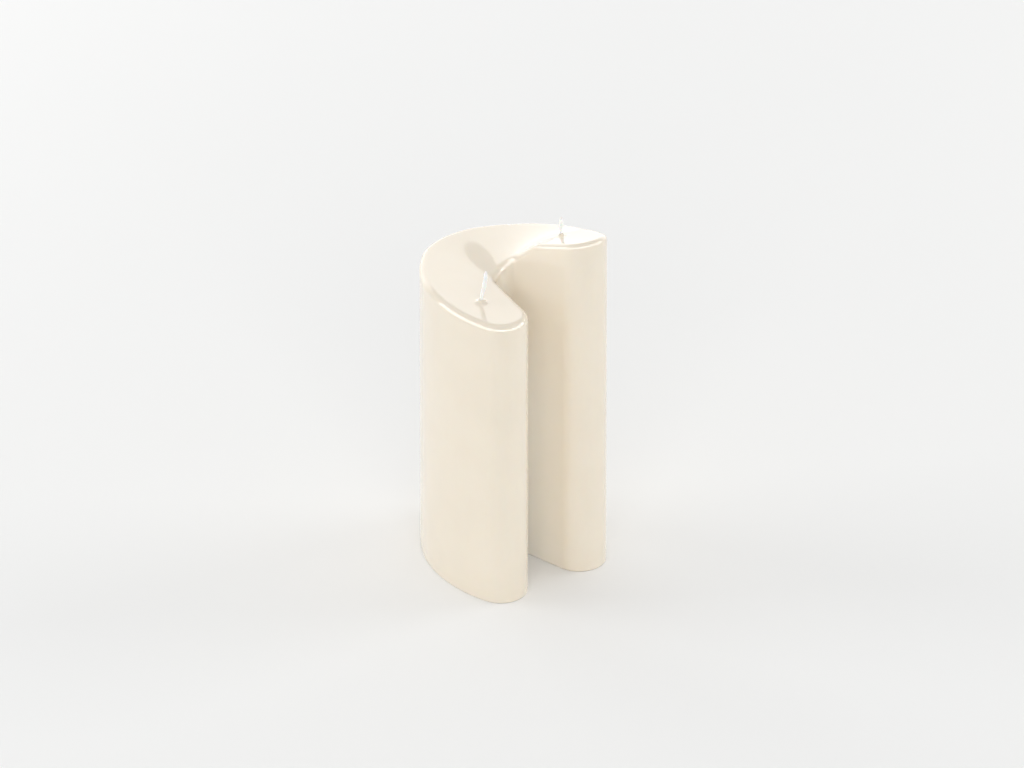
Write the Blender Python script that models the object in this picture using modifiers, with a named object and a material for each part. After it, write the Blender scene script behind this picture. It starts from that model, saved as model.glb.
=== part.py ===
"""Pillar candle with two wicks: a heart-shaped column whose top winds up round the cleft.

Metres, +Z up. The cleft opens towards -Y, the low lobe lies at -X and the high lobe at +X.
The origin is on the floor, under the middle of the column's depth.
"""

import math

import bmesh
import bpy
from mathutils import Vector

# Outline of the column, seen from above
DEPTH = 0.0990              # from the ends of the lobes to the rounded tip
LOBE_SPACING = 0.0530       # between the centres of the two lobes
LOBE_RADIUS = 0.0144
SIDE_RADIUS = 0.0780
TIP_RADIUS = 0.0280
CLEFT_DEPTH = 0.0483        # from the ends of the lobes to the bottom of the cleft
CLEFT_RADIUS = 0.0060

# Climbing top: it winds round a pivot in the cleft, then runs straight out on the high lobe
LOW_HEIGHT = 0.1680         # level part, on the low lobe
HIGH_HEIGHT = 0.2002        # where the straight run ends, over the ends of the lobes
PIVOT_X = -0.0050
PIVOT_SETBACK = 0.0335      # from the ends of the lobes to the pivot
CLIMB_START = math.radians(186)     # about the pivot, from the mouth of the cleft towards +X
BEND_RADIUS = 0.0362        # where the bend is as steep as the straight run
EASE = 0.0155               # way over which the climb grows to its full grade
BLEND = 0.0060              # way over which the bend passes into the straight run
RIM_RADIUS = 0.0038         # roll between the wall and the top
FOOT_RADIUS = 0.0006        # small roll at the floor

# Glossy dipped coat over the core
COAT = 0.0010
COAT_CLEARANCE = 0.0003

# Wicks, and the wax that climbs them where they leave the top
WICK_DIAMETER = 0.0020
WICK_CLEARANCE = 0.0003
WICK_SPACING = 0.0534
WICK_SETBACK = 0.0306       # from the ends of the lobes to the line through both wicks
LOW_WICK_LENGTH = 0.0186    # standing clear of the wax
HIGH_WICK_LENGTH = 0.0115
LOW_WICK_LEAN = 0.0024      # sideways travel of the low wick's tip
LOW_WICK_LEAN_ANGLE = math.radians(-38)
COLLAR_RADIUS = 0.0045
COLLAR_HEIGHT = 0.0013
COLLAR_LIP = 0.0004         # wax left round the wick at the collar's top
COLLAR_SINK = 0.0005        # how deep the collar's underside lies in the coat
COLLAR_EDGE_DIP = 0.000125  # how far the collar's edge dips under the top
COLLAR_FLARE = 2.4          # power of the share of the way in, by which the collar rises

# Metal tabs that hold the wicks, let into the underside
TAB_DIAMETER = 0.0150
TAB_THICKNESS = 0.0004
TAB_LIFT = 0.0003           # from the floor to the tab
TAB_CLEARANCE = 0.0003
NECK_HEIGHT = 0.0060
NECK_WALL = 0.0004

# Facets
ROOT_STEPS = 8
FLANK_STEPS = 8
LOBE_STEPS = 14
SIDE_STEPS = 12
TIP_STEPS = 10
RIM_STEPS = 5
FOOT_STEPS = 2
CAP_SHARES = (0.28, 0.56, 0.82)     # how far the rings of the top go in towards the spine
ROUND_STEPS = 32
COLLAR_STEPS = 6
LEAN_STEPS = 6
SHARP_ANGLE = math.radians(35)      # edges that turn more than this are shaded sharp
WELD_DISTANCE = 0.00001

WAX = (0.87, 0.78, 0.64)
CORE_WAX = (0.90, 0.84, 0.73)
COTTON = (0.93, 0.91, 0.86)
STEEL = (0.62, 0.63, 0.65)


# Derived places
FRONT_Y = -DEPTH / 2
LOBE_Y = FRONT_Y + LOBE_RADIUS
TIP_Y = DEPTH / 2 - TIP_RADIUS
ROOT_Y = FRONT_Y + CLEFT_DEPTH - CLEFT_RADIUS
PIVOT_Y = FRONT_Y + PIVOT_SETBACK
BEND_WAY = BEND_RADIUS * (CLIMB_START - math.pi / 2)
GRADE = (HIGH_HEIGHT - LOW_HEIGHT) / (BEND_WAY + PIVOT_SETBACK - EASE / 2)
WICK_RADIUS = WICK_DIAMETER / 2
WICK_X = WICK_SPACING / 2
WICK_Y = FRONT_Y + WICK_SETBACK
BORE_RADIUS = WICK_RADIUS + WICK_CLEARANCE
CORE_INSET = COAT + COAT_CLEARANCE
OVERCUT = 0.0020            # how far a cutter runs past the face that it opens


def on_circle(centre, radius, angle):
    """The point at an angle on a circle."""
    return centre + radius * Vector((math.cos(angle), math.sin(angle)))


def direction(start, end):
    """The angle of the way from one point to another."""
    way = end - start
    return math.atan2(way.y, way.x)


def arc_stations(centre, radius, start, end, steps, side):
    """Points along an arc, without its last one, each with its normal out of the wax.

    side is 1 on an arc that bulges out of the wax and -1 on one that bulges into it.
    """
    stations = []
    for step in range(steps):
        angle = start + (end - start) * step / steps
        normal = side * on_circle(Vector((0, 0)), 1, angle)
        stations.append((on_circle(centre, radius, angle), normal))
    return stations


def half_outline():
    """The +X half of the outline, from the bottom of the cleft round the high lobe to the tip."""
    root = Vector((0, ROOT_Y))
    lobe = Vector((LOBE_SPACING / 2, LOBE_Y))
    tip = Vector((0, TIP_Y))

    # The straight flank touches the cleft's circle on one side and the lobe's on the other.
    turn = math.acos((CLEFT_RADIUS + LOBE_RADIUS) / (lobe - root).length)
    flank_angle = direction(root, lobe) + turn
    flank_start = on_circle(root, CLEFT_RADIUS, flank_angle)
    flank_end = on_circle(lobe, LOBE_RADIUS, flank_angle + math.pi)
    flank_normal = -on_circle(Vector((0, 0)), 1, flank_angle)

    # The side's circle holds the lobe's and the tip's circles, touching both from outside.
    to_tip = SIDE_RADIUS - TIP_RADIUS
    to_lobe = SIDE_RADIUS - LOBE_RADIUS
    span = (lobe - tip).length
    along = (to_tip ** 2 - to_lobe ** 2 + span ** 2) / (2 * span)
    across = math.sqrt(to_tip ** 2 - along ** 2)
    way = (lobe - tip) / span
    side = tip + along * way + across * Vector((way.y, -way.x))

    stations = arc_stations(root, CLEFT_RADIUS, math.pi / 2, flank_angle, ROOT_STEPS, -1)
    for step in range(FLANK_STEPS):
        stations.append((flank_start.lerp(flank_end, step / FLANK_STEPS), flank_normal))
    lobe_end = direction(side, lobe) + 2 * math.pi
    stations += arc_stations(lobe, LOBE_RADIUS, flank_angle + math.pi, lobe_end, LOBE_STEPS, 1)
    stations += arc_stations(side, SIDE_RADIUS, direction(side, lobe), direction(side, tip), SIDE_STEPS, 1)
    stations += arc_stations(tip, TIP_RADIUS, direction(side, tip), math.pi / 2, TIP_STEPS, 1)
    stations.append((on_circle(tip, TIP_RADIUS, math.pi / 2), Vector((0, 1))))
    return stations


def whole_outline():
    """Both halves as one ring, anticlockwise from above."""
    half = half_outline()
    mirrored = [(Vector((-point.x, point.y)), Vector((-normal.x, normal.y))) for point, normal in half]
    return half + mirrored[-2:0:-1]


def climb(point):
    """The top's height over a point, and its slope there as a vector that points uphill.

    The height follows a way that is measured at BEND_RADIUS round the pivot, as far as the line
    along X through the pivot, and straight out towards -Y beyond it. The bend is steeper near
    the pivot than the straight run is, and BLEND lets that difference die away.
    """
    arm = point - Vector((PIVOT_X, PIVOT_Y))
    if arm.x > 0 and arm.y < 0:
        ahead = -arm.y
        near = min(ahead, BLEND)
        steeper = BEND_RADIUS / arm.x - 1
        faded = near - near ** 2 / (2 * BLEND)
        way = BEND_WAY + ahead + steeper * faded
        uphill = Vector((-BEND_RADIUS / arm.x ** 2 * faded, -1 - steeper * (1 - near / BLEND)))
    else:
        angle = math.atan2(arm.x, -arm.y) % (2 * math.pi)
        way = BEND_RADIUS * (CLIMB_START - angle)
        uphill = Vector((arm.y, -arm.x)) * BEND_RADIUS / arm.length_squared
    if way > EASE:
        return LOW_HEIGHT + GRADE * (way - EASE / 2), GRADE * uphill
    way = max(way, 0.0)
    return LOW_HEIGHT + GRADE * way ** 2 / (2 * EASE), GRADE * way / EASE * uphill


def top_height(point, inset):
    """The height of the top, or of the face that lies inset below it, square to the slope."""
    height, uphill = climb(point)
    return height - inset * math.sqrt(1 + uphill.length_squared)


def spine_point(point):
    """The point on the arc along the middle of the heart that lies nearest in angle.

    The arc runs through both lobe centres and half-way between the cleft and the tip.
    """
    middle_y = (ROOT_Y + CLEFT_RADIUS + DEPTH / 2) / 2
    half = LOBE_SPACING / 2
    centre_y = (middle_y ** 2 - LOBE_Y ** 2 - half ** 2) / (2 * (middle_y - LOBE_Y))
    limit = math.atan2(half, LOBE_Y - centre_y)
    angle = math.atan2(point.x, point.y - centre_y)
    angle = min(max(angle, -limit), limit)
    radius = middle_y - centre_y
    return Vector((radius * math.sin(angle), centre_y + radius * math.cos(angle)))


def column_rings(inset, foot_z, foot_radius):
    """The rings of a column that lies inset inside the candle's outer face, from foot to top."""
    outline = whole_outline()
    rim = RIM_RADIUS - inset
    rings = []
    for step in range(FOOT_STEPS + 1 if foot_radius else 1):
        turn = math.pi / 2 * step / FOOT_STEPS
        in_by = inset + foot_radius * (1 - math.sin(turn))
        z = foot_z + foot_radius * (1 - math.cos(turn))
        rings.append([(*(point - in_by * normal), z) for point, normal in outline])
    for step in range(RIM_STEPS + 1):
        turn = math.pi / 2 * step / RIM_STEPS
        drop = rim * (1 - math.sin(turn))
        places = [point - (inset + rim * (1 - math.cos(turn))) * normal for point, normal in outline]
        rings.append([(*place, top_height(place, inset) - drop) for place in places])
    edge = [Vector(corner[:2]) for corner in rings[-1]]
    for share in CAP_SHARES:
        places = [place.lerp(spine_point(place), share) for place in edge]
        rings.append([(*place, top_height(place, inset)) for place in places])
    return rings


def link(obj, collection, parent=None):
    collection.objects.link(obj)
    obj.parent = parent
    return obj


def zip_top(built, ring):
    """Fills a heart-shaped ring with triangles that reach from its inner to its outer side.

    In each half both sides run from the middle line to the lobe's end, and each step takes the
    shorter way across.
    """
    count = len(ring)
    tip = count // 2
    end = ROOT_STEPS + FLANK_STEPS + LOBE_STEPS // 2
    halves = (
        (range(0, end + 1), range(tip, end - 1, -1), 1),
        (range(0, -end - 1, -1), range(tip, count - end + 1), -1),
    )
    for inner, outer, order in halves:
        inner = [ring[place] for place in inner]
        outer = [ring[place] for place in outer]
        near, far = 0, 0
        while near < len(inner) - 2 or far < len(outer) - 2:
            step_in = (inner[near + 1].co - outer[far].co).length if near < len(inner) - 2 else math.inf
            step_out = (inner[near].co - outer[far + 1].co).length if far < len(outer) - 2 else math.inf
            if step_in < step_out:
                corners = (inner[near], inner[near + 1], outer[far])
                near += 1
            else:
                corners = (inner[near], outer[far + 1], outer[far])
                far += 1
            built.faces.new(corners[::order])
        built.faces.new((inner[near], inner[near + 1], outer[far])[::order])


def loft(name, rings):
    """A closed mesh through rings of as many points each, with both ends filled."""
    mesh = bpy.data.meshes.new(name)
    built = bmesh.new()
    rows = [[built.verts.new(corner) for corner in ring] for ring in rings]
    count = len(rows[0])
    for lower, upper in zip(rows, rows[1:]):
        for here in range(count):
            there = (here + 1) % count
            built.faces.new((lower[here], lower[there], upper[there], upper[here]))
    built.faces.new(reversed(rows[0]))
    zip_top(built, rows[-1])
    # The quads of the ramp are twisted, and a Boolean wants flat faces.
    bmesh.ops.triangulate(built, faces=built.faces[:])
    built.to_mesh(mesh)
    built.free()
    mesh.shade_smooth()
    mesh.set_sharp_from_angle(angle=SHARP_ANGLE)
    return bpy.data.objects.new(name, mesh)


def turned(name, profile, closed):
    """A piece turned about Z from (radius, height) points that run down its outer side.

    closed joins the last point to the first, for a piece with a hole through it.
    """
    mesh = bpy.data.meshes.new(name)
    edges = [(here, here + 1) for here in range(len(profile) - 1)]
    if closed:
        edges.append((len(profile) - 1, 0))
    mesh.from_pydata([(radius, 0, height) for radius, height in profile], edges, [])
    obj = bpy.data.objects.new(name, mesh)
    screw = obj.modifiers.new("turn", "SCREW")
    screw.steps = ROUND_STEPS
    screw.render_steps = ROUND_STEPS
    screw.use_merge_vertices = True
    screw.merge_threshold = WELD_DISTANCE
    screw.use_smooth_shade = True
    return obj


def cut(obj, cutter, operation="DIFFERENCE"):
    boolean = obj.modifiers.new(cutter.name, "BOOLEAN")
    boolean.operation = operation
    boolean.object = cutter
    boolean.solver = "EXACT"


def helper(obj, collection):
    link(obj, collection)
    obj.hide_render = True
    obj.display_type = "WIRE"
    return obj


def finish(obj, colour, roughness, metallic=0.0, coat=0.0):
    material = bpy.data.materials.new(obj.name)
    material.use_nodes = True
    shader = material.node_tree.nodes["Principled BSDF"]
    shader.inputs["Base Color"].default_value = (*colour, 1)
    shader.inputs["Roughness"].default_value = roughness
    shader.inputs["Metallic"].default_value = metallic
    shader.inputs["Coat Weight"].default_value = coat
    material.diffuse_color = (*colour, 1)
    obj.data.materials.append(material)


def wick_bore(name, x, cutters):
    """What a wick and its tab take out of the core: the bore, room for the neck, and a recess."""
    neck = BORE_RADIUS + NECK_WALL + TAB_CLEARANCE
    recess = TAB_DIAMETER / 2 + TAB_CLEARANCE
    ceiling = TAB_LIFT + TAB_THICKNESS + TAB_CLEARANCE
    neck_top = TAB_LIFT + NECK_HEIGHT + TAB_CLEARANCE
    above = HIGH_HEIGHT + OVERCUT
    profile = [
        (0, above), (BORE_RADIUS, above), (BORE_RADIUS, neck_top), (neck, neck_top),
        (neck, ceiling), (recess, ceiling), (recess, -OVERCUT), (0, -OVERCUT),
    ]
    bore = helper(turned(name, profile, False), cutters)
    bore.location = (x, WICK_Y, 0)
    return bore


def collar(name, x, cutters):
    """The wax drawn up round a wick, square to the top where the wick leaves it."""
    foot = Vector((x, WICK_Y))
    height, uphill = climb(foot)
    lip = BORE_RADIUS + COLLAR_LIP
    profile = [(0, COLLAR_HEIGHT)]
    for step in range(COLLAR_STEPS + 1):
        share = step / COLLAR_STEPS
        # The flare thins to nothing and dips under the top at its edge, so that no step is left.
        lift = COLLAR_HEIGHT * (1 - share) ** COLLAR_FLARE - COLLAR_EDGE_DIP * share
        profile.append((lip + (COLLAR_RADIUS - lip) * share, lift))
    profile += [(COLLAR_RADIUS - COLLAR_SINK, -COLLAR_SINK), (0, -COLLAR_SINK)]
    mound = helper(turned(name, profile, False), cutters)
    mound.location = (*foot, height)
    normal = Vector((-uphill.x, -uphill.y, 1))
    mound.rotation_mode = "QUATERNION"
    mound.rotation_quaternion = Vector((0, 0, 1)).rotation_difference(normal)
    return mound


def wick_hole(name, x, cutters):
    """The hole that a wick leaves the coat by."""
    low = LOW_HEIGHT / 2
    high = HIGH_HEIGHT + COLLAR_HEIGHT + OVERCUT
    profile = [(0, high), (BORE_RADIUS, high), (BORE_RADIUS, low), (0, low)]
    hole = helper(turned(name, profile, False), cutters)
    hole.location = (x, WICK_Y, 0)
    return hole


def wick(name, x, length, lean, lean_angle):
    """A cotton wick from the underside of its tab to its free tip, which may lean."""
    top = climb(Vector((x, WICK_Y)))[0]
    neck = top + 2 * COLLAR_HEIGHT
    foot = Vector((x, WICK_Y))
    points = [(*foot, TAB_LIFT), (*foot, neck)]
    for step in range(1, LEAN_STEPS + 1):
        share = step / LEAN_STEPS
        place = on_circle(foot, lean * math.sin(share * math.pi / 2), lean_angle)
        points.append((*place, neck + (top + length - neck) * share))
    curve = bpy.data.curves.new(name, "CURVE")
    curve.dimensions = "3D"
    curve.bevel_depth = WICK_RADIUS
    curve.bevel_resolution = 3
    curve.use_fill_caps = True
    spline = curve.splines.new("POLY")
    spline.points.add(len(points) - 1)
    for point, place in zip(spline.points, points):
        point.co = (*place, 1)
    return bpy.data.objects.new(name, curve)


def wick_tab(name, x):
    """A pressed metal disc with a neck that grips the wick's lower end."""
    neck = BORE_RADIUS + NECK_WALL
    disc_top = TAB_LIFT + TAB_THICKNESS
    profile = [
        (BORE_RADIUS, TAB_LIFT + NECK_HEIGHT), (neck, TAB_LIFT + NECK_HEIGHT), (neck, disc_top),
        (TAB_DIAMETER / 2, disc_top), (TAB_DIAMETER / 2, TAB_LIFT), (BORE_RADIUS, TAB_LIFT),
    ]
    tab = turned(name, profile, True)
    tab.location = (x, WICK_Y, 0)
    return tab


def build():
    for obj in list(bpy.data.objects):
        bpy.data.objects.remove(obj, do_unlink=True)
    pieces = bpy.data.collections.new("two_wick_candle")
    cutters = bpy.data.collections.new("cutters")
    bpy.context.scene.collection.children.link(pieces)
    bpy.context.scene.collection.children.link(cutters)
    candle = link(bpy.data.objects.new("candle", None), pieces)

    core = link(loft("wax_core", column_rings(CORE_INSET, 0, 0)), pieces, candle)
    finish(core, CORE_WAX, 0.55)

    coat = link(loft("gloss_coat", column_rings(0, 0, FOOT_RADIUS)), pieces, candle)
    finish(coat, WAX, 0.18, coat=0.5)

    sides = (("low", -WICK_X), ("high", WICK_X))
    for side, x in sides:
        cut(coat, collar(side + "_collar", x, cutters), "UNION")
        cut(coat, wick_hole(side + "_wick_hole", x, cutters))
        cut(core, wick_bore(side + "_wick_bore", x, cutters))
        tab = link(wick_tab(side + "_wick_tab", x), pieces, candle)
        finish(tab, STEEL, 0.35, metallic=1.0)
    cut(coat, helper(loft("coat_cavity", column_rings(COAT, -OVERCUT, 0)), cutters))

    low_wick = wick("low_wick", -WICK_X, LOW_WICK_LENGTH, LOW_WICK_LEAN, LOW_WICK_LEAN_ANGLE)
    high_wick = wick("high_wick", WICK_X, HIGH_WICK_LENGTH, 0, 0)
    for piece in (low_wick, high_wick):
        finish(link(piece, pieces, candle), COTTON, 0.8)


build()
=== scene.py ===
"""Looks of the two-wick pillar candle: dipped wax coat, waxed wicks, metal tabs and a soft studio.

Metres, +Z up, the cleft opens towards -Y, the low lobe lies at -X and the high lobe at +X.
"""

import math

import bpy
import numpy as np
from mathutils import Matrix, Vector

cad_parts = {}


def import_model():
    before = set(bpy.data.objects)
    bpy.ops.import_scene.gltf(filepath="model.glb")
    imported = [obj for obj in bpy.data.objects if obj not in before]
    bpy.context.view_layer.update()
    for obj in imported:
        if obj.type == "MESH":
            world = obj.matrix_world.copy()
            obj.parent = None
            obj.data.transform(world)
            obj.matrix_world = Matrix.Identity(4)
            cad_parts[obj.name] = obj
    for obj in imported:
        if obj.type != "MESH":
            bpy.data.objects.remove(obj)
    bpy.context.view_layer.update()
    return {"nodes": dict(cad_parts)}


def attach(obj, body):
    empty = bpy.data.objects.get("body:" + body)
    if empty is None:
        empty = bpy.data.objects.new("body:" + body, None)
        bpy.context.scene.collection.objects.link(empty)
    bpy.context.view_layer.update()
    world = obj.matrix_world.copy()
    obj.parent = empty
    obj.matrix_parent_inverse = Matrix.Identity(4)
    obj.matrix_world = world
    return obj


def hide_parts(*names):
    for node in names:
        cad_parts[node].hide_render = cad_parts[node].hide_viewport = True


# Outline of the column, seen from above, as in the part's source
DEPTH = 0.0990
LOBE_SPACING = 0.0530
LOBE_RADIUS = 0.0144
SIDE_RADIUS = 0.0780
TIP_RADIUS = 0.0280
CLEFT_DEPTH = 0.0483
CLEFT_RADIUS = 0.0060

# Climbing top: it winds round a pivot in the cleft, then runs straight out on the high lobe
LOW_HEIGHT = 0.1680
HIGH_HEIGHT = 0.2002
PIVOT_X = -0.0050
PIVOT_SETBACK = 0.0335
CLIMB_START = math.radians(186)
BEND_RADIUS = 0.0362
EASE = 0.0155
BLEND = 0.0060
RIM_RADIUS = 0.0038
FOOT_RADIUS = 0.0006
COAT = 0.0010

# Wicks and the wax that climbs them
WICK_RADIUS = 0.0010
WICK_X = 0.0267
WICK_Y = -0.0189
LOW_WICK_LENGTH = 0.0186
HIGH_WICK_LENGTH = 0.0115
LOW_WICK_LEAN = 0.0024
LOW_WICK_LEAN_ANGLE = math.radians(-38)
WICK_NECK = 0.0026          # upright part above the top, before the lean starts
TIP_TRIM = 0.0003           # how far the braid's middle line ends below the solid wick's tip
FOOT_FULLNESS = 0.92        # the braid's size in the wax and at its tip, as a share
FREE_FULLNESS = 0.40        # what half-way up the free stretch adds to that
MOUND_RADIUS = 0.0056
MOUND_HEIGHT = 0.0016
MOUND_FLARE = 3.2
TAB_LIFT = 0.0003

FRONT_Y = -DEPTH / 2
LOBE_Y = FRONT_Y + LOBE_RADIUS
TIP_Y = DEPTH / 2 - TIP_RADIUS
ROOT_Y = FRONT_Y + CLEFT_DEPTH - CLEFT_RADIUS
PIVOT_Y = FRONT_Y + PIVOT_SETBACK
BEND_WAY = BEND_RADIUS * (CLIMB_START - math.pi / 2)
GRADE = (HIGH_HEIGHT - LOW_HEIGHT) / (BEND_WAY + PIVOT_SETBACK - EASE / 2)

# Stations round the outline. Root and flank together have as many as side and tip, so that the
# top's lines can run straight across from the inner side to the outer one.
ROOT_STEPS = 20
FLANK_STEPS = 44
LOBE_STEPS = 64
SIDE_STEPS = 44
TIP_STEPS = 20
FOOT_STEPS = 4
WALL_STEPS = 26
RIM_STEPS = 14
ACROSS_STEPS = 30
PATCH_STEPS = 18
PATCH_REACH = 0.0066        # from the wick to the rim of the finer part of the top
PATCH_CROWDING = 1.5        # over 1, the finer part's rings draw closer near the wick
NEAREST = 1e-6              # least distance from the pivot that the climb works with
WELD_SCALE = 1e7            # points that agree to one part in this of a metre are welded
SHARP_ANGLE = math.radians(50)

# Braid of the wicks
STRANDS_EACH_WAY = 4
BRAID_PITCH = 0.0072
STRAND_RADIUS = 0.00031
BRAID_RADIUS = 0.00054
BRAID_WEAVE = 0.00014
WICK_STEP = 0.00045         # between the braid's rings in the wax
FREE_STEPS = 40             # rings in the free stretch
RAGGED_ENDS = 3             # the strands end at this many heights
STRAND_SIDES = 7
STRAND_END = 0.3            # how far a strand's end stands out, against its radius
BRAID_CORE = 0.8            # radius of the braid's core, against BRAID_RADIUS
BRAID_CORE_SIDES = 8
BRAID_SHARP_ANGLE = math.radians(80)

# Places of a Mix node's colour sockets and of its colour output
MIX_SHARE = 0
MIX_FIRST = 6
MIX_SECOND = 7
MIX_RESULT = 2

# Colours of the finishes, linear: the two that a pattern blends, or one
CREAM = ((0.868, 0.780, 0.650, 1), (0.886, 0.800, 0.670, 1))
# Painted light: a paler cream laid on the upright walls inside the cleft to lift the shade there
CLEFT_PAINTED_LIGHT = (0.935, 0.893, 0.815, 1)
PRESSED_CREAM = ((0.80, 0.71, 0.57, 1), (0.88, 0.81, 0.68, 1))
COTTON = ((0.940, 0.935, 0.915, 1), (0.985, 0.980, 0.970, 1))
TIN = ((0.56, 0.57, 0.59, 1), (0.70, 0.71, 0.72, 1))
PAPER = ((0.874, 0.876, 0.870, 1), (0.884, 0.886, 0.880, 1))

# Roughness of each finish, and what its patterns add to that
COAT_ROUGHNESS = 0.04
SMUDGE_DULLNESS = 0.04
GRAIN_DULLNESS = 0.02
CORE_ROUGHNESS = 0.5
CORE_DULLNESS = 0.15
COTTON_ROUGHNESS = 0.35
FILM_DULLNESS = 0.3
METAL_ROUGHNESS = 0.22
LINE_DULLNESS = 0.15
PATCH_DULLNESS = 0.12

# Shares and stretches of the patterns
WAX_IOR = 1.45
WAX_SPREAD = (1.0, 0.7, 0.45)   # how far red, green and blue light go in wax, as shares
LONG_RIPPLE = 0.7
SHORT_RIPPLE = 0.3
CRYSTAL_SHARE = 0.8
GRAIN_SHARE = 0.3
CRYSTAL_RELIEF = 0.5
PORE_RELIEF = 0.5
FIBRE_STRETCH = 0.15        # under 1, the fibres run long up the wick
LINE_STRETCH = 0.03         # under 1, the rolling lines run long across the tab
# The next three shape the painted light inside the cleft
CLEFT_STRETCH = 50          # length of the ramps a metre, across and along the cleft
CLEFT_SHIFT = 0.5           # place of the candle's middle on the ramp along the cleft
HEIGHT_STRETCH = 5          # length of the ramp a metre, up the cleft

# Camera, as the photograph has it
CAMERA_WAY = Vector((-0.5368, -0.6797, 0.5))
CAMERA_TARGET = Vector((-0.0001, -0.0113, 0.1054))
CAMERA_DISTANCE = 9.0
CAMERA_REACH = 30
FRAME_WIDTH = 0.5404
SENSOR = 36.0
CAMERA_AZIMUTH = -38.3      # degrees; 0 lies at -Y and 90 at +X

# Studio
WORLD_LEVEL = 0.62
LAMP_AIM = 0.15             # height that the lamps face
FLOOR_RADII = (0.0001, 0.4, 1.2, 5.0)
FLOOR_STEPS = 96
FLOOR_DROP = 0.0001         # keeps the floor clear of the candle's foot

# Lamps and cards: degrees round from the camera, degrees up, distance, width and height, radiance
BACK_CARD = (180, 13.75, 1.0, (2.4, 0.888), 0.95)
BACK_PANEL = (180, 18.8, 1.4, (2.8, 0.96), 0.6)
KEY = (2, 25, 1.4, (0.9, 0.7), 2.3)
LEFT_LAMP = (-96, 24, 1.4, (0.7, 0.8), 2.4)
RIGHT_LAMP = (106, 24, 1.4, (0.7, 0.8), 2.3)
RIM_LIGHT = (-140, 6, 1.4, (0.6, 0.35), 3.6)
LIP_CARD = (19, 1.5, (1.55, 0.85), 5.2)
LIP_CARD_TURNS = (-82, -27, 28, 83)


def arc(centre, radius, start, end, steps, side):
    """Points at equal turns along an arc without its last one, and their normals out of the wax."""
    angles = start + (end - start) * np.arange(steps) / steps
    away = np.stack([np.cos(angles), np.sin(angles)], axis=1)
    return np.array(centre) + radius * away, side * away


def outline():
    """Stations round the candle, anticlockwise from above: points and outward normals.

    Tangent arcs for the cleft's bottom, the lobe, the side and the tip, with a straight flank
    between the first two; the -X half mirrors the +X one.
    """
    root = np.array((0, ROOT_Y))
    lobe = np.array((LOBE_SPACING / 2, LOBE_Y))
    tip = np.array((0, TIP_Y))
    reach = lobe - root
    turn = math.atan2(reach[1], reach[0])
    turn += math.acos((CLEFT_RADIUS + LOBE_RADIUS) / np.hypot(*reach))
    away = np.array((math.cos(turn), math.sin(turn)))

    to_tip = SIDE_RADIUS - TIP_RADIUS
    to_lobe = SIDE_RADIUS - LOBE_RADIUS
    span = np.hypot(*(lobe - tip))
    along = (to_tip ** 2 - to_lobe ** 2 + span ** 2) / (2 * span)
    across = math.sqrt(to_tip ** 2 - along ** 2)
    way = (lobe - tip) / span
    side = tip + along * way + across * np.array((way[1], -way[0]))
    to_lobe_angle = math.atan2(*(lobe - side)[::-1])
    to_tip_angle = math.atan2(*(tip - side)[::-1])

    shares = (np.arange(FLANK_STEPS) / FLANK_STEPS)[:, None]
    flank_start = root + CLEFT_RADIUS * away
    flank_end = lobe - LOBE_RADIUS * away
    runs = (
        arc(root, CLEFT_RADIUS, math.pi / 2, turn, ROOT_STEPS, -1),
        (flank_start + (flank_end - flank_start) * shares, np.tile(-away, (FLANK_STEPS, 1))),
        arc(lobe, LOBE_RADIUS, turn + math.pi, to_lobe_angle + 2 * math.pi, LOBE_STEPS, 1),
        arc(side, SIDE_RADIUS, to_lobe_angle, to_tip_angle, SIDE_STEPS, 1),
        arc(tip, TIP_RADIUS, to_tip_angle, math.pi / 2, TIP_STEPS, 1),
        (tip[None] + (0, TIP_RADIUS), np.array([(0.0, 1.0)])),
    )
    points = np.concatenate([run[0] for run in runs])
    normals = np.concatenate([run[1] for run in runs])
    flip = np.array((-1, 1))
    return (
        np.concatenate([points, points[-2:0:-1] * flip]),
        np.concatenate([normals, normals[-2:0:-1] * flip]),
    )


def climb(places):
    """The top's height over each (x, y), and how steep it is there.

    The height follows a way that is measured at BEND_RADIUS round the pivot, as far as the line
    along X through the pivot, and straight out towards -Y beyond it. The bend is steeper near
    the pivot than the straight run is, and BLEND lets that difference die away. The rise starts
    with the square of the way and is straight once EASE is behind.
    """
    x = places[..., 0] - PIVOT_X
    y = places[..., 1] - PIVOT_Y
    straight = (x > 0) & (y < 0)
    distance = np.maximum(np.hypot(x, y), NEAREST)
    bend_way = BEND_RADIUS * (CLIMB_START - np.arctan2(x, -y) % (2 * math.pi))
    near = np.clip(-y, 0, BLEND)
    steeper = BEND_RADIUS / np.where(straight, x, BEND_RADIUS) - 1
    faded = near - near ** 2 / (2 * BLEND)
    way = np.where(straight, BEND_WAY - y + steeper * faded, bend_way)
    sideways = np.where(straight, (1 + steeper) ** 2 / BEND_RADIUS * faded, 0)
    onward = np.where(straight, 1 + steeper * (1 - near / BLEND), BEND_RADIUS / distance)
    share = np.clip(way / EASE, 0, 1)
    rise = np.where(way > EASE, way - EASE / 2, share * np.maximum(way, 0) / 2)
    return LOW_HEIGHT + GRADE * rise, GRADE * share * np.hypot(sideways, onward)


def mound(places):
    """Wax drawn up round each wick: a flare that falls as a power of the way out from the wick."""
    lift = 0
    for x in (-WICK_X, WICK_X):
        distance = np.hypot(places[..., 0] - x, places[..., 1] - WICK_Y)
        share = np.clip((distance - WICK_RADIUS) / (MOUND_RADIUS - WICK_RADIUS), 0, 1)
        lift = lift + MOUND_HEIGHT * (1 - share) ** MOUND_FLARE
    return lift


def top_height(places, inset):
    """The top's height, or that of the face that lies inset below it, square to the slope."""
    height, slope = climb(places)
    height = height - inset * np.sqrt(1 + slope ** 2)
    return height + mound(places) if inset == 0 else height


def lifted(places, heights):
    """Points in space from places in plan and their heights."""
    return np.concatenate([places, np.broadcast_to(heights, places.shape[:-1])[..., None]], axis=-1)


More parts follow.
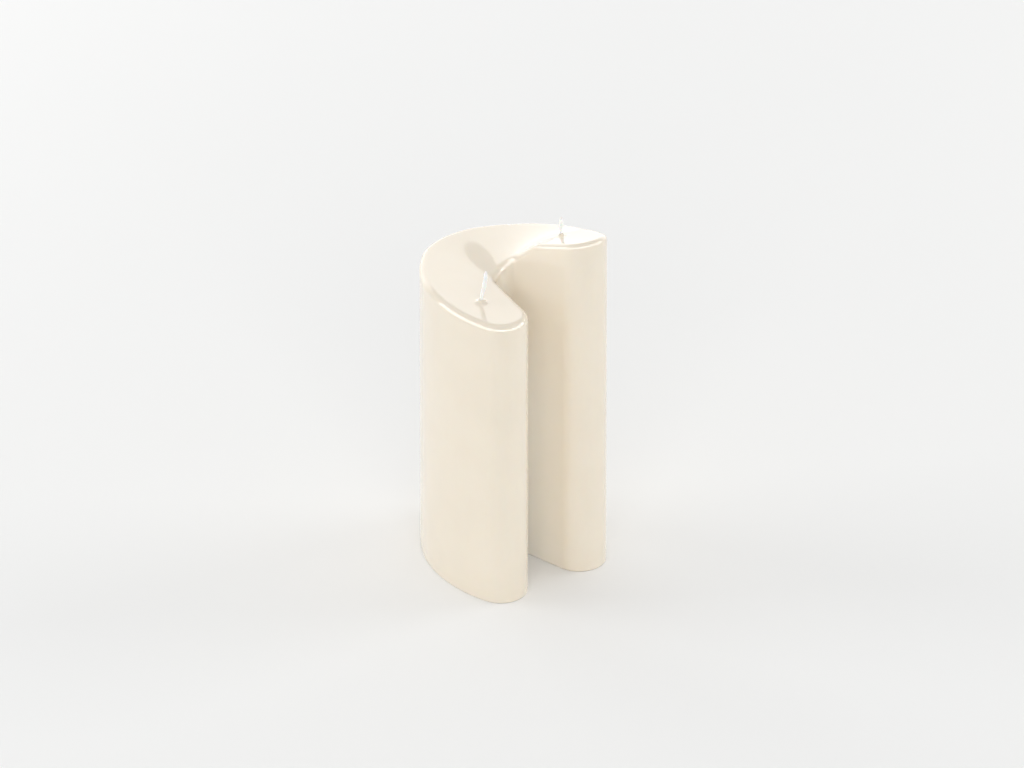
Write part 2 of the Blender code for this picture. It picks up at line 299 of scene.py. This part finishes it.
class Skin:
    """Patches of a surface, collected as points and faces and welded where they meet."""

    def __init__(self):
        self.points = []
        self.quads = []
        self.triangles = []
        self.count = 0

    def add(self, grid):
        """Takes a grid of points and returns their numbers in the same layout."""
        flat = grid.reshape(-1, 3)
        self.points.append(flat)
        numbers = np.arange(self.count, self.count + len(flat)).reshape(grid.shape[:-1])
        self.count += len(flat)
        return numbers

    def patch(self, grid, flip=False, keep=None):
        """A grid of points as quads; keep marks the cells that are wanted."""
        numbers = self.add(grid)
        corners = (numbers[:-1, :-1], numbers[:-1, 1:], numbers[1:, 1:], numbers[1:, :-1])
        cells = np.stack(corners, axis=-1)
        cells = cells[keep] if keep is not None else cells.reshape(-1, 4)
        self.quads.append(cells[:, ::-1] if flip else cells)

    def fan(self, centre, row, flip=False):
        """Triangles from a point to each stretch of a row."""
        hub = self.add(centre.reshape(1, 3))[0]
        numbers = self.add(row)
        cells = np.stack([np.full(len(row) - 1, hub), numbers[:-1], numbers[1:]], axis=1)
        self.triangles.append(cells[:, ::-1] if flip else cells)

    def mesh(self, name, sharp_angle=SHARP_ANGLE):
        """The welded mesh, without the cells that fold to nothing.

        Edges that bend by more than sharp_angle stay sharp.
        """
        points = np.concatenate(self.points)
        keys = np.round(points * WELD_SCALE).astype(np.int64)
        _, first, place = np.unique(keys, axis=0, return_index=True, return_inverse=True)
        place = place.reshape(-1)
        faces = [tuple(face) for face in place[np.concatenate(self.quads)]]
        if self.triangles:
            faces += [tuple(face) for face in place[np.concatenate(self.triangles)]]
        faces = [tuple(dict.fromkeys(face)) for face in faces]
        made = bpy.data.meshes.new(name)
        made.from_pydata(points[first], [], [face for face in faces if len(face) > 2])
        made.validate()
        made.shade_smooth()
        made.set_sharp_from_angle(angle=sharp_angle)
        return made


def shell_side(skin, inset, foot_z, outward):
    """One side of the coat, foot to top: rings up the wall and over the rim, then the top.

    Each half of the top is ruled straight across from the rim's inner side to its outer side,
    with a finer patch round the wick whose spokes run from the cells' edge to the wick's hole.
    """
    points, normals = outline()
    rim = RIM_RADIUS - inset
    rows = []
    if outward:
        turn = np.linspace(0, math.pi / 2, FOOT_STEPS + 1)[:, None, None]
        places = points - FOOT_RADIUS * (1 - np.sin(turn)) * normals
        rows.append(lifted(places, FOOT_RADIUS * (1 - np.cos(turn[..., 0]))))
    wall = points - inset * normals
    wall_top = top_height(wall, inset) - rim
    foot = FOOT_RADIUS if outward else foot_z
    share = np.linspace(0, 1, WALL_STEPS + 1)[int(outward):, None]
    walls = np.broadcast_to(wall, (len(share), *wall.shape))
    rows.append(lifted(walls, foot + (wall_top - foot) * share))
    turn = np.linspace(0, math.pi / 2, RIM_STEPS + 1)[1:, None, None]
    places = points - (inset + rim * (1 - np.cos(turn))) * normals
    rows.append(lifted(places, top_height(places, inset) - rim * (1 - np.sin(turn[..., 0]))))
    grid = np.concatenate(rows)
    skin.patch(np.concatenate([grid, grid[:, :1]], axis=1), flip=not outward)

    edge = places[-1]
    half = ROOT_STEPS + FLANK_STEPS + LOBE_STEPS // 2
    tip = len(edge) // 2
    inner_sides = (edge[:half + 1], np.roll(edge, -1, axis=0)[::-1][:half + 1])
    outer_sides = (edge[tip:tip - half - 1:-1], edge[tip:tip + half + 1])
    holes = []
    for x, inner, outer in zip((WICK_X, -WICK_X), inner_sides, outer_sides):
        turned = (x > 0) == outward
        share = np.linspace(0, 1, ACROSS_STEPS + 1)[None, :, None]
        places = inner[:, None] * (1 - share) + outer[:, None] * share
        wick = np.array((x, WICK_Y))
        near = np.hypot(places[..., 0] - x, places[..., 1] - WICK_Y) < PATCH_REACH
        lines, columns = np.nonzero(near)
        line, last_line = lines.min() - 1, lines.max() + 1
        column, last_column = columns.min() - 1, columns.max() + 1
        keep = np.ones((half - 1, ACROSS_STEPS), bool)
        keep[line:last_line, column:last_column] = False
        body = lifted(places[:half], top_height(places[:half], inset))
        skin.patch(body, flip=turned, keep=keep)
        end = inner[half]
        skin.fan(lifted(end, top_height(end, inset)), body[half - 1], flip=turned)

        ring = np.concatenate([
            places[line, column:last_column],
            places[line:last_line, last_column],
            places[last_line, last_column:column:-1],
            places[last_line:line - 1:-1, column],
        ])
        away = ring - wick
        mouth = wick + WICK_RADIUS * away / np.hypot(away[:, 0], away[:, 1])[:, None]
        reach = (np.linspace(1, 0, PATCH_STEPS + 1) ** PATCH_CROWDING)[:, None, None]
        spokes = mouth + (ring - mouth) * reach
        grid = lifted(spokes, top_height(spokes, inset))
        skin.patch(grid, flip=turned)
        holes.append(grid[-1])
    return rows[0][0], holes


def coat_mesh():
    """The coat as a closed shell: outer and inner side, the foot's ring and the wick holes."""
    skin = Skin()
    outer_foot, outer_holes = shell_side(skin, 0, 0, True)
    inner_foot, inner_holes = shell_side(skin, COAT, 0, False)
    ring = np.stack([inner_foot, outer_foot])
    skin.patch(np.concatenate([ring, ring[:, :1]], axis=1))
    for upper, lower, turned in zip(outer_holes, inner_holes, (True, False)):
        skin.patch(np.stack([upper, lower]), flip=turned)
    return skin.mesh("dipped_coat")


def wick_axis(x, length, lean, lean_angle):
    """Points down the middle of a wick, tab to tip, and the braid's size at each.

    It stands upright in the wax and then leans: the sideways travel follows a quarter of a sine
    over the free length, and the braid swells by half a sine there.
    """
    foot = np.array((x, WICK_Y))
    top = climb(foot)[0]
    neck = top + WICK_NECK
    tip = top + length - TIP_TRIM
    heights = np.concatenate([
        np.arange(TAB_LIFT, neck, WICK_STEP),
        np.linspace(neck, tip, FREE_STEPS),
    ])
    share = np.clip((heights - neck) / (tip - neck), 0, 1)
    sideways = lean * np.sin(share * math.pi / 2)
    way = np.array((math.cos(lean_angle), math.sin(lean_angle)))
    fullness = FOOT_FULLNESS + FREE_FULLNESS * np.sin(share * math.pi)
    return lifted(foot + sideways[:, None] * way, heights), fullness


def tube(centres, radii, sides):
    """Rings of a round section carried along a path, each square to the path.

    A ring's point is centre + radius * (cos a * u + sin a * v), where u and v are square to the
    path's direction; each end closes in a shallow point.
    """
    ways = np.gradient(centres, axis=0)
    ways /= np.linalg.norm(ways, axis=1)[:, None]
    across = np.cross(ways, (0.0, 1.0, 0.0))
    across /= np.linalg.norm(across, axis=1)[:, None]
    other = np.cross(ways, across)
    angles = np.linspace(0, 2 * math.pi, sides + 1)[None, :, None]
    radii = np.broadcast_to(radii, len(centres))[:, None, None]
    section = np.cos(angles) * across[:, None] + np.sin(angles) * other[:, None]
    rings = centres[:, None] + radii * section
    rings[:, -1] = rings[:, 0]
    ends = []
    for spot, bulge in ((0, -STRAND_END), (-1, STRAND_END)):
        tip = centres[[spot], None] + ways[[spot], None] * radii[spot] * bulge
        ends.append(np.repeat(tip, sides + 1, axis=1))
    return np.concatenate([ends[0], rings, ends[1]])


def braid_mesh(name, axis, fullness):
    """A round braid along an axis: strands wind both ways and pass over and under each other.

    A strand's centre lies at radius R + a * cos(n * turn) one way and R - a * cos(n * turn) the
    other way, for n strands each way, so that whichever is outside at one crossing is inside at
    the next. Everything is multiplied by the braid's fullness, and the strands end at slightly
    unlike heights. A plain tube fills the middle.
    """
    skin = Skin()
    run = np.concatenate([[0], np.cumsum(np.linalg.norm(np.diff(axis, axis=0), axis=1))])
    turn = 2 * math.pi * run / BRAID_PITCH
    weave = BRAID_WEAVE * np.cos(STRANDS_EACH_WAY * turn)
    for hand in (1, -1):
        for strand in range(STRANDS_EACH_WAY):
            angle = hand * turn + 2 * math.pi * strand / STRANDS_EACH_WAY
            radius = fullness * (BRAID_RADIUS + hand * weave)
            offset = np.stack([radius * np.cos(angle), radius * np.sin(angle), 0 * angle], axis=1)
            last = len(axis) - strand % RAGGED_ENDS
            rings = tube((axis + offset)[:last], (STRAND_RADIUS * fullness)[:last], STRAND_SIDES)
            skin.patch(rings)
    core_radii = BRAID_RADIUS * BRAID_CORE * fullness[:-1]
    skin.patch(tube(axis[:-1], core_radii, BRAID_CORE_SIDES))
    return skin.mesh(name, BRAID_SHARP_ANGLE)


def place(name, mesh, finish, slot, *nodes):
    """Puts a finished mesh in the scene, riding on the candle, in place of these CAD nodes."""
    obj = bpy.data.objects.new(name, mesh)
    bpy.context.scene.collection.objects.link(obj)
    mesh.materials.append(finish)
    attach(obj, "root")
    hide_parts(*nodes)


class Value:
    """A shader socket with arithmetic: each operation adds one Math node."""

    def __init__(self, finish, socket):
        self.finish = finish
        self.socket = socket

    def math(self, operation, *others):
        inputs = dict(enumerate((self, *others)))
        return self.finish.node("ShaderNodeMath", {"operation": operation}, inputs)

    def __add__(self, other):
        return self.math("ADD", other)

    __radd__ = __add__

    def __mul__(self, other):
        return self.math("MULTIPLY", other)

    __rmul__ = __mul__


class Finish:
    """A procedural material built node by node."""

    def __init__(self, name):
        self.material = bpy.data.materials.new(name)
        self.material.use_nodes = True
        self.tree = self.material.node_tree
        self.tree.nodes.clear()

    def node(self, kind, settings=None, sockets=None, out=0):
        """Adds a node: its settings first, then values or links for its sockets.

        Returns the output named or numbered by out.
        """
        made = self.tree.nodes.new(kind)
        for key, value in (settings or {}).items():
            if key == "stops":
                self.set_stops(made.color_ramp, value)
            else:
                setattr(made, key, value)
        for key, value in (sockets or {}).items():
            if isinstance(value, Value):
                self.tree.links.new(value.socket, made.inputs[key])
            else:
                made.inputs[key].default_value = value
        return Value(self, made.outputs[out])

    def set_stops(self, ramp, stops):
        for element, (position, level) in zip(ramp.elements, stops):
            element.position = position
            element.color = (level, level, level, 1)

    def noise(self, where, scale, detail, roughness=0.5):
        sockets = {"Vector": where, "Scale": scale, "Detail": detail, "Roughness": roughness}
        return self.node("ShaderNodeTexNoise", None, sockets)

    def fade(self, value, none, full):
        """A ramp between the input's value where it gives 0 and the one where it gives 1."""
        stops = sorted([(none, 0), (full, 1)])
        return self.node("ShaderNodeValToRGB", {"stops": stops}, {"Fac": value})

    def blend(self, share, first, second):
        """Mixes two colours."""
        sockets = {MIX_SHARE: share, MIX_FIRST: first, MIX_SECOND: second}
        return self.node("ShaderNodeMix", {"data_type": "RGBA"}, sockets, MIX_RESULT)

    def coordinates(self, scale=(1, 1, 1)):
        where = self.node("ShaderNodeTexCoord", None, None, "Object")
        return self.node("ShaderNodeMapping", None, {"Vector": where, "Scale": scale})

    def part(self, vector, axis):
        return self.node("ShaderNodeSeparateXYZ", None, {"Vector": vector}, axis)

    def bump(self, height, depth):
        """A relief: depth is the height in metres of a full step of the input."""
        sockets = {"Height": height, "Distance": depth, "Strength": 1.0}
        return self.node("ShaderNodeBump", None, sockets, "Normal")

    def surface(self, **sockets):
        """The material with these values and links on its shader; an underscore is a space."""
        named = {key.replace("_", " "): value for key, value in sockets.items()}
        shader = self.node("ShaderNodeBsdfPrincipled", None, named)
        made = self.tree.nodes.new("ShaderNodeOutputMaterial")
        self.tree.links.new(shader.socket, made.inputs["Surface"])
        return self.material


def coat_wax():
    """Glossy cream wax: faint clouding, a hand-dipped ripple and a few softer patches of gloss.

    On the upright walls inside the cleft a paler cream is painted in, more towards the foot:
    painted light that lifts the shade there, as it is in the photograph. The share of that painted
    light is
    four fades multiplied: by the distance from the middle plane, by the place from front to back,
    by the height, and by how far a face looks up.
    """
    finish = Finish("cream_wax_coat")
    where = finish.coordinates()
    cloud = finish.fade(finish.noise(where, scale=38, detail=3), none=0.35, full=0.65)
    fine = finish.noise(where, scale=900, detail=2)
    cream = finish.blend(cloud, *CREAM)
    aside = finish.part(where, "X").math("ABSOLUTE") * CLEFT_STRETCH
    back = finish.part(where, "Y") * CLEFT_STRETCH + CLEFT_SHIFT
    height = finish.part(where, "Z") * HEIGHT_STRETCH
    upward = finish.part(finish.node("ShaderNodeNewGeometry", None, None, "Normal"), "Z")
    # Painted light: where the paler cream lifts the shade inside the cleft, more towards the foot
    cleft = finish.fade(aside, none=0.64, full=0.38) * finish.fade(back, none=0.9, full=0.5)
    low = finish.fade(height, none=0.9, full=0.5)
    cleft = cleft * low * finish.fade(upward, none=0.7, full=0.1)
    long_ripple = finish.noise(where, scale=46, detail=1) * LONG_RIPPLE
    ripple = long_ripple + finish.noise(where, scale=260, detail=2) * SHORT_RIPPLE
    smudge = finish.noise(where, scale=75, detail=4, roughness=0.6)
    smudge = finish.fade(smudge, none=0.5, full=0.75)
    return finish.surface(
        # The cream with the painted light of the cleft blended in
        Base_Color=finish.blend(cleft, cream, CLEFT_PAINTED_LIGHT),
        Roughness=smudge * SMUDGE_DULLNESS + fine * GRAIN_DULLNESS + COAT_ROUGHNESS,
        IOR=WAX_IOR,
        Subsurface_Weight=0.15,
        Subsurface_Radius=WAX_SPREAD,
        Subsurface_Scale=0.0015,
        Coat_Weight=0.3,
        Coat_Roughness=0.05,
        Coat_IOR=WAX_IOR,
        Normal=finish.bump(ripple, depth=0.00002),
    )


def core_wax():
    """Pressed matte wax: pale crystals and fine pores."""
    finish = Finish("pressed_wax_core")
    where = finish.coordinates()
    sockets = {"Vector": where, "Scale": 420}
    crystals = finish.node("ShaderNodeTexVoronoi", {"feature": "F1"}, sockets)
    grain = finish.noise(where, scale=700, detail=4, roughness=0.6)
    mottling = crystals * CRYSTAL_SHARE + grain * GRAIN_SHARE
    pores = finish.fade(finish.noise(where, scale=1300, detail=2), none=0.3, full=0.42)
    relief = crystals * CRYSTAL_RELIEF + pores * PORE_RELIEF
    return finish.surface(
        Base_Color=finish.blend(mottling, *PRESSED_CREAM),
        Roughness=grain * CORE_DULLNESS + CORE_ROUGHNESS,
        Subsurface_Weight=0.2,
        Subsurface_Radius=WAX_SPREAD,
        Subsurface_Scale=0.003,
        Normal=finish.bump(relief, depth=0.00012),
    )


def wick_cotton():
    """Waxed cotton: fibres along the strands under a thin uneven film of wax."""
    finish = Finish("waxed_cotton")
    along = finish.coordinates((1, 1, FIBRE_STRETCH))
    fibres = finish.noise(along, scale=9000, detail=3, roughness=0.6)
    film = finish.noise(finish.coordinates(), scale=1500, detail=2)
    return finish.surface(
        Base_Color=finish.blend(fibres, *COTTON),
        Roughness=film * FILM_DULLNESS + COTTON_ROUGHNESS,
        Subsurface_Weight=0.2,
        Subsurface_Scale=0.0005,
        Normal=finish.bump(fibres, depth=0.00003),
    )


def tab_metal():
    """Pressed tinned steel: fine rolling lines, a soft grain and duller patches."""
    finish = Finish("tinned_steel")
    lines = finish.noise(finish.coordinates((1, LINE_STRETCH, 1)), scale=6000, detail=3)
    patches = finish.noise(finish.coordinates(), scale=260, detail=3)
    dullness = lines * LINE_DULLNESS + patches * PATCH_DULLNESS
    return finish.surface(
        Base_Color=finish.blend(patches, *TIN),
        Metallic=1.0,
        Roughness=dullness + METAL_ROUGHNESS,
        Normal=finish.bump(lines, depth=0.00001),
    )


def floor_paper():
    """Pale seamless paper with a barely seen grain."""
    finish = Finish("pale_paper")
    grain = finish.noise(finish.coordinates(), scale=6, detail=2)
    colour = finish.blend(grain, *PAPER)
    return finish.surface(Base_Color=colour, Roughness=0.9, Specular_IOR_Level=0.2)


def floor():
    """A wide paper disc, flat: rings of points at equal turns."""
    turn = np.linspace(0, 2 * math.pi, FLOOR_STEPS + 1)
    radii = np.array(FLOOR_RADII)[:, None]
    level = 0 * radii * turn - FLOOR_DROP
    skin = Skin()
    skin.patch(np.stack([radii * np.cos(turn), radii * np.sin(turn), level], axis=-1), flip=True)
    mesh = skin.mesh("paper_floor")
    mesh.materials.append(floor_paper())
    obj = bpy.data.objects.new("paper_floor", mesh)
    bpy.context.scene.collection.objects.link(obj)


def softbox(name, turn, rise, distance, size, radiance, diffuse=True, glossy=True):
    """An area light facing the candle: degrees round it from the camera, and degrees up.

    Without diffuse it is a card that only shows in the gloss, and without glossy a lamp that
    doesn't show in it.
    """
    light = bpy.data.lights.new(name, "AREA")
    light.shape = "RECTANGLE"
    light.size, light.size_y = size
    light.energy = radiance * math.pi * size[0] * size[1]
    obj = bpy.data.objects.new(name, light)
    bpy.context.scene.collection.objects.link(obj)
    azimuth = math.radians(CAMERA_AZIMUTH + turn)
    height = math.radians(rise)
    level_way = math.cos(height)
    way = Vector((math.sin(azimuth) * level_way, -math.cos(azimuth) * level_way, math.sin(height)))
    obj.location = Vector((0, 0, LAMP_AIM)) + way * distance
    obj.rotation_mode = "QUATERNION"
    obj.rotation_quaternion = way.to_track_quat("Z", "Y")
    obj.visible_diffuse = diffuse
    obj.visible_glossy = glossy
    obj.visible_camera = False


def world():
    """An even pale studio."""
    made = bpy.data.worlds.new("studio")
    made.use_nodes = True
    background = made.node_tree.nodes["Background"]
    background.inputs["Color"].default_value = (1, 1, 1, 1)
    background.inputs["Strength"].default_value = WORLD_LEVEL
    bpy.context.scene.world = made


def lamps():
    """A panel behind that the top mirrors, a key, lamps at the sides and cards for the lip."""
    softbox("back_card", *BACK_CARD, diffuse=False)
    softbox("back_panel", *BACK_PANEL)
    softbox("key", *KEY)
    softbox("left_lamp", *LEFT_LAMP, glossy=False)
    softbox("right_lamp", *RIGHT_LAMP, glossy=False)
    softbox("rim_light", *RIM_LIGHT, glossy=False)
    for number, turn in enumerate(LIP_CARD_TURNS):
        softbox("lip_card_%d" % number, turn, *LIP_CARD, diffuse=False)


def camera():
    made = bpy.data.cameras.new("camera")
    made.sensor_width = SENSOR
    made.lens = SENSOR * CAMERA_DISTANCE / FRAME_WIDTH
    made.clip_end = CAMERA_REACH
    obj = bpy.data.objects.new("camera", made)
    bpy.context.scene.collection.objects.link(obj)
    way = CAMERA_WAY.normalized()
    obj.location = CAMERA_TARGET + way * CAMERA_DISTANCE
    obj.rotation_mode = "QUATERNION"
    obj.rotation_quaternion = way.to_track_quat("Z", "Y")
    bpy.context.scene.camera = obj


def dress(nodes):
    """Puts the coat and the braids in place of their CAD nodes and finishes the other nodes."""
    place("dipped_coat", coat_mesh(), coat_wax(), "coat_wax", "gloss_coat")
    cotton = wick_cotton()
    low_axis = wick_axis(-WICK_X, LOW_WICK_LENGTH, LOW_WICK_LEAN, LOW_WICK_LEAN_ANGLE)
    high_axis = wick_axis(WICK_X, HIGH_WICK_LENGTH, 0, 0)
    for side, axis in (("low", low_axis), ("high", high_axis)):
        name = side + "_braided_wick"
        place(name, braid_mesh(name, *axis), cotton, "wick_cotton", side + "_wick")
    metal = tab_metal()
    finishes = (("wax_core", core_wax()), ("low_wick_tab", metal), ("high_wick_tab", metal))
    for name, finish in finishes:
        nodes[name].data.materials.clear()
        nodes[name].data.materials.append(finish)


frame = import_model()
bpy.context.scene.view_settings.view_transform = "Standard"
dress(frame["nodes"])
floor()
world()
lamps()
camera()
